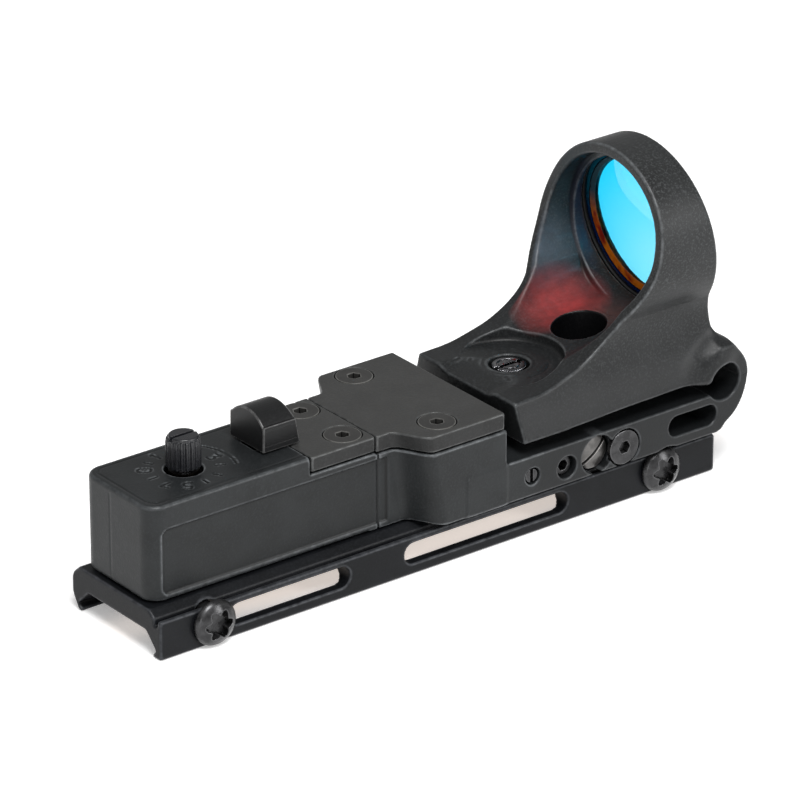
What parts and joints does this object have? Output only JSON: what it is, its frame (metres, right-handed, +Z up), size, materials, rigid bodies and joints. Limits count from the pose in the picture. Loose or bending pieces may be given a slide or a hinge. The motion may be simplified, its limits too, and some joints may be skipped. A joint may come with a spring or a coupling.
{
  "type": "red dot finder",
  "caption": "Open reflex red dot sight: ring-mounted coated lens on a tilting head, housing with brightness dial and covers, on a dovetail rail clamp base.",
  "frame": {"origin": "bottom centre of the whole: under the base's lips, on the body's centre plane, half way along the total length", "axes": "+X forward along the line of sight, +Z up, so the adjusting screws' side faces -Y"},
  "size_m": [0.1198, 0.0318, 0.0584],
  "materials": {
    "housing_black": "bead-blasted, black anodised",
    "base_black": "smooth black anodised",
    "cover_black": "bead-blasted, black anodised",
    "screw_black": "black oxide steel",
    "steel": "plain steel",
    "brass": "turned",
    "black_plastic": "moulded",
    "rubber": "moulded",
    "board_green": "solder mask",
    "lens_coated": "dichroic coated",
    "wire_red": "insulation",
    "wire_black": "insulation",
    "led_red": "clear red dome"
  },
  "bodies": {
    "body": {"base_rail_clamp": "base_black", "base_bolt_rear": "steel", "base_bolt_middle": "steel", "base_bolt_front": "steel", "housing": "housing_black", "battery_cover": "cover_black", "front_cover": "cover_black", "battery_cover_screw_near": "screw_black", "battery_cover_screw_far": "screw_black", "front_cover_screw_near": "screw_black", "front_cover_screw_far": "screw_black", "rheostat_bushing": "brass", "rheostat_body": "black_plastic", "rheostat_washer": "steel", "button_cell_1": "steel", "button_cell_2": "steel", "button_cell_3": "steel", "cell_contact_spring": "brass", "cell_contact_plate": "brass", "circuit_board": "board_green", "driver_chip": "black_plastic", "filter_capacitor": "black_plastic", "board_standoff": "brass", "board_screw": "steel", "wire_rheostat": "wire_black", "wire_battery": "wire_red", "wire_led": "wire_red", "elevation_lock_pad": "brass", "guide_set_screw": "screw_black", "carriage_spring": "steel"},
    "head": {"head": "housing_black", "lens": "lens_coated", "lens_gasket": "rubber", "lens_retaining_ring": "black_plastic"},
    "elevation": {"elevation_screw": "screw_black"},
    "windage": {"windage_screw": "screw_black"},
    "carriage": {"emitter_carriage": "brass", "led_emitter": "led_red"},
    "knob": {"brightness_knob": "black_plastic", "rheostat_shaft": "steel", "rheostat_wiper": "brass"},
    "latch": {"battery_latch": "housing_black", "latch_clip": "steel"},
    "clamp_rear": {"clamp_screw_rear": "screw_black"},
    "clamp_front": {"clamp_screw_front": "screw_black"},
    "elevation_lock": {"elevation_lock_screw": "screw_black"},
    "windage_lock": {"windage_lock_screw": "screw_black"}
  },
  "joints": [
    {"name": "head_tilt", "type": "hinge", "parent": "body", "child": "head", "pos_m": [0.05892, 0, 0.0174], "axis": [0, 1, 0], "range_deg": [-1.5, 1.5]},
    {"name": "elevation_turn", "type": "hinge", "parent": "head", "child": "elevation", "pos_m": [0.02092, 0.0005, 0.0236], "axis": [0, 0, 1], "range_deg": [-540, 540]},
    {"name": "windage_turn", "type": "hinge", "parent": "body", "child": "windage", "pos_m": [0.02747, -0.012, 0.0117], "axis": [0, 1, 0], "range_deg": [-576, 576]},
    {"name": "carriage_slide", "type": "slide", "parent": "body", "child": "carriage", "axis": [0, 1, 0], "range_m": [-0.0008, 0.0008], "deforming": ["carriage_spring"]},
    {"name": "knob_turn", "type": "hinge", "parent": "body", "child": "knob", "pos_m": [-0.04573, 0, 0.028], "axis": [0, 0, 1], "range_deg": [0, 300]},
    {"name": "latch_slide", "type": "slide", "parent": "body", "child": "latch", "axis": [-1, 0, 0], "range_m": [0, 0.0025], "stiffness_N_per_m": 150, "springref_m": -0.002},
    {"name": "clamp_rear_turn", "type": "hinge", "parent": "body", "child": "clamp_rear", "pos_m": [-0.04972, -0.013, 0.00415], "axis": [0, 1, 0], "range_deg": [-1080, 0]},
    {"name": "clamp_front_turn", "type": "hinge", "parent": "body", "child": "clamp_front", "pos_m": [0.04247, -0.013, 0.00415], "axis": [0, 1, 0], "range_deg": [-1080, 0]},
    {"name": "elevation_lock_turn", "type": "hinge", "parent": "body", "child": "elevation_lock", "pos_m": [0.02092, -0.01, 0.0113], "axis": [0, 1, 0], "range_deg": [-720, 0]},
    {"name": "windage_lock_turn", "type": "hinge", "parent": "body", "child": "windage_lock", "pos_m": [0.03318, -0.012, 0.0114], "axis": [0, 1, 0], "range_deg": [-720, 0]}
  ],
  "couplings": [
    {"joint": "elevation_turn", "follows": "head_tilt", "ratio": 341.1},
    {"joint": "windage_turn", "follows": "carriage_slide", "rad_per_m": -12566}
  ]
}
